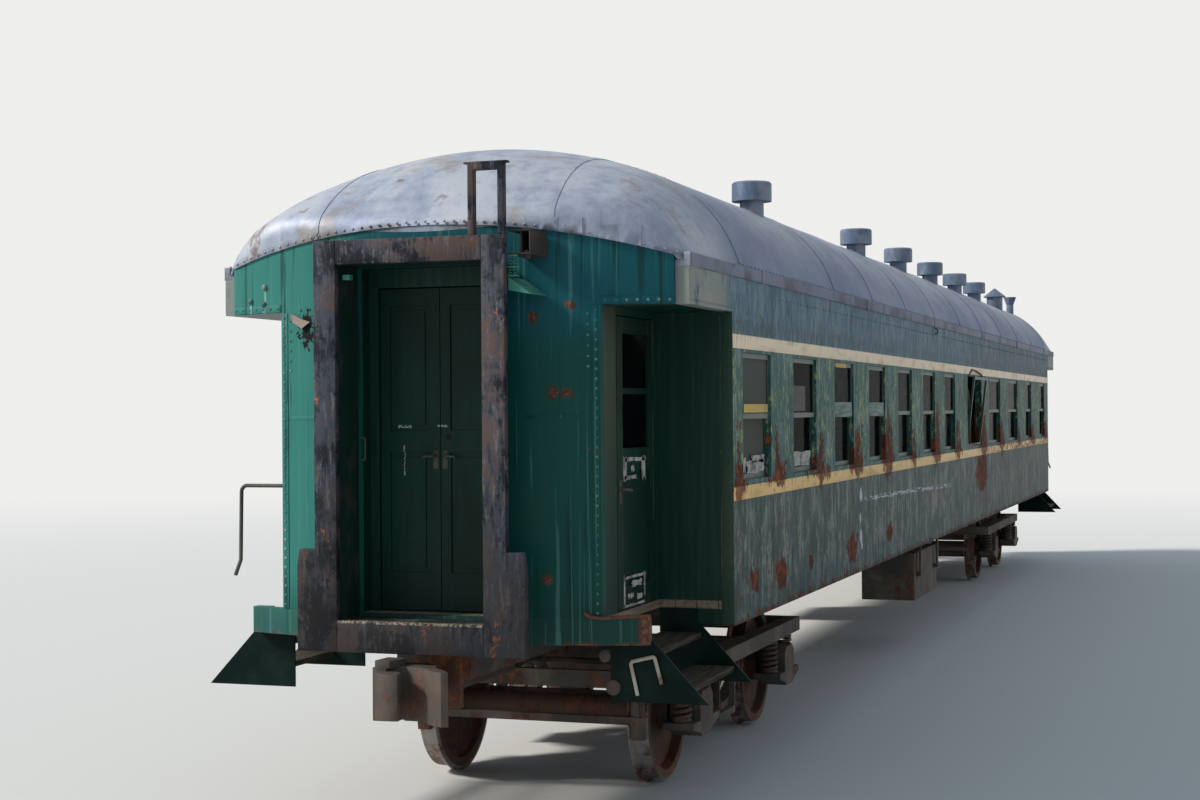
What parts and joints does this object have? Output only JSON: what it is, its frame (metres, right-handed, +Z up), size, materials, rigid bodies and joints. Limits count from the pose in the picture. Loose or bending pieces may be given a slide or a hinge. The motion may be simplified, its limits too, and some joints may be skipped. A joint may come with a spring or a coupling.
{
  "type": "railway passenger coach",
  "caption": "Disused riveted steel railway passenger coach on two bogies, with recessed corner doorways, gangway ends, domed roof and turning wheels and doors.",
  "frame": {"origin": "centre of the coach on the flat surface that the wheel flanges stand on", "axes": "+X along the coach towards the rear end, +Y across it to the right of the front end's view, +Z up"},
  "size_m": [23.004, 3.22, 4.2528],
  "materials": {
    "body_green": "weathered, peeling",
    "sash_green": "weathered",
    "door_green": "worn satin",
    "roof_paint": "faded aluminium paint",
    "rusted_iron": "rusted",
    "underframe_black": "dirty, rusted",
    "coupler_iron": "rusted casting",
    "bogie_iron": "dirty casting",
    "wheel_steel": "rusted, tread worn bright",
    "rail_steel": "worn paint",
    "window_glass": "dusty",
    "floor_wood": "worn boards",
    "bench_wood": "varnished, worn",
    "seat_cover": "cracked cover"
  },
  "bodies": {
    "root": {"roof": "roof_paint", "side_wall_left": "body_green", "side_wall_right": "body_green", "window_sashes_left": "sash_green", "window_sashes_right": "sash_green", "window_glass_left": "window_glass", "window_glass_right": "window_glass", "end_wall_front": "body_green", "end_wall_rear": "body_green", "end_frame_front": "door_green", "end_frame_rear": "door_green", "bulkhead_front": "door_green", "bulkhead_rear": "door_green", "gangway_frame_front": "rusted_iron", "gangway_frame_rear": "rusted_iron", "gangway_tunnel_front": "rusted_iron", "gangway_tunnel_rear": "rusted_iron", "underframe": "underframe_black", "cross_bearers": "underframe_black", "floor": "floor_wood", "coupler_front": "coupler_iron", "coupler_rear": "coupler_iron", "steps_front_left": "door_green", "steps_front_right": "door_green", "steps_rear_left": "door_green", "steps_rear_right": "door_green", "grab_rails": "rail_steel", "roof_ventilators": "roof_paint", "bench_seats": "seat_cover", "bench_backs": "bench_wood", "luggage_racks": "bench_wood", "battery_boxes": "underframe_black", "brake_reservoirs": "underframe_black"},
    "side_door_front_left": {"side_door_front_left": "door_green", "side_door_glass_front_left": "window_glass"},
    "end_door_front_left": {"end_door_front_left": "door_green"},
    "side_door_front_right": {"side_door_front_right": "door_green", "side_door_glass_front_right": "window_glass"},
    "end_door_front_right": {"end_door_front_right": "door_green"},
    "side_door_rear_left": {"side_door_rear_left": "door_green", "side_door_glass_rear_left": "window_glass"},
    "end_door_rear_left": {"end_door_rear_left": "door_green"},
    "side_door_rear_right": {"side_door_rear_right": "door_green", "side_door_glass_rear_right": "window_glass"},
    "end_door_rear_right": {"end_door_rear_right": "door_green"},
    "bogie_front": {"bogie_front_frame": "bogie_iron", "bogie_front_springs": "bogie_iron", "bogie_front_axle_boxes": "bogie_iron", "bogie_front_brake_gear": "bogie_iron"},
    "wheelset_1": {"wheelset_1": "wheel_steel"},
    "wheelset_2": {"wheelset_2": "wheel_steel"},
    "bogie_rear": {"bogie_rear_frame": "bogie_iron", "bogie_rear_springs": "bogie_iron", "bogie_rear_axle_boxes": "bogie_iron", "bogie_rear_brake_gear": "bogie_iron"},
    "wheelset_3": {"wheelset_3": "wheel_steel"},
    "wheelset_4": {"wheelset_4": "wheel_steel"}
  },
  "joints": [
    {"name": "side_door_front_left_swing", "type": "hinge", "parent": "root", "child": "side_door_front_left", "pos_m": [-9.846, -0.972, 2.2], "axis": [0, 0, -1], "range_deg": [0, 88]},
    {"name": "end_door_front_left_swing", "type": "hinge", "parent": "root", "child": "end_door_front_left", "pos_m": [-10.749, -0.383, 2.2], "axis": [0, 0, -1], "range_deg": [0, 90]},
    {"name": "side_door_front_right_swing", "type": "hinge", "parent": "root", "child": "side_door_front_right", "pos_m": [-9.846, 0.972, 2.2], "axis": [0, 0, 1], "range_deg": [0, 88]},
    {"name": "end_door_front_right_swing", "type": "hinge", "parent": "root", "child": "end_door_front_right", "pos_m": [-10.749, 0.383, 2.2], "axis": [0, 0, 1], "range_deg": [0, 90]},
    {"name": "side_door_rear_left_swing", "type": "hinge", "parent": "root", "child": "side_door_rear_left", "pos_m": [9.846, -0.972, 2.2], "axis": [0, 0, 1], "range_deg": [0, 88]},
    {"name": "end_door_rear_left_swing", "type": "hinge", "parent": "root", "child": "end_door_rear_left", "pos_m": [10.749, -0.383, 2.2], "axis": [0, 0, 1], "range_deg": [0, 90]},
    {"name": "side_door_rear_right_swing", "type": "hinge", "parent": "root", "child": "side_door_rear_right", "pos_m": [9.846, 0.972, 2.2], "axis": [0, 0, -1], "range_deg": [0, 88]},
    {"name": "end_door_rear_right_swing", "type": "hinge", "parent": "root", "child": "end_door_rear_right", "pos_m": [10.749, 0.383, 2.2], "axis": [0, 0, -1], "range_deg": [0, 90]},
    {"name": "bogie_front_pivot", "type": "hinge", "parent": "root", "child": "bogie_front", "pos_m": [-7.7, 0, 0.8655], "axis": [0, 0, 1], "range_deg": [-4, 4]},
    {"name": "wheelset_1_spin", "type": "hinge", "parent": "bogie_front", "child": "wheelset_1", "pos_m": [-8.9, 0, 0.4855], "axis": [0, 1, 0], "continuous": true},
    {"name": "wheelset_2_spin", "type": "hinge", "parent": "bogie_front", "child": "wheelset_2", "pos_m": [-6.5, 0, 0.4855], "axis": [0, 1, 0], "continuous": true},
    {"name": "bogie_rear_pivot", "type": "hinge", "parent": "root", "child": "bogie_rear", "pos_m": [7.7, 0, 0.8655], "axis": [0, 0, 1], "range_deg": [-4, 4]},
    {"name": "wheelset_3_spin", "type": "hinge", "parent": "bogie_rear", "child": "wheelset_3", "pos_m": [6.5, 0, 0.4855], "axis": [0, 1, 0], "continuous": true},
    {"name": "wheelset_4_spin", "type": "hinge", "parent": "bogie_rear", "child": "wheelset_4", "pos_m": [8.9, 0, 0.4855], "axis": [0, 1, 0], "continuous": true}
  ]
}
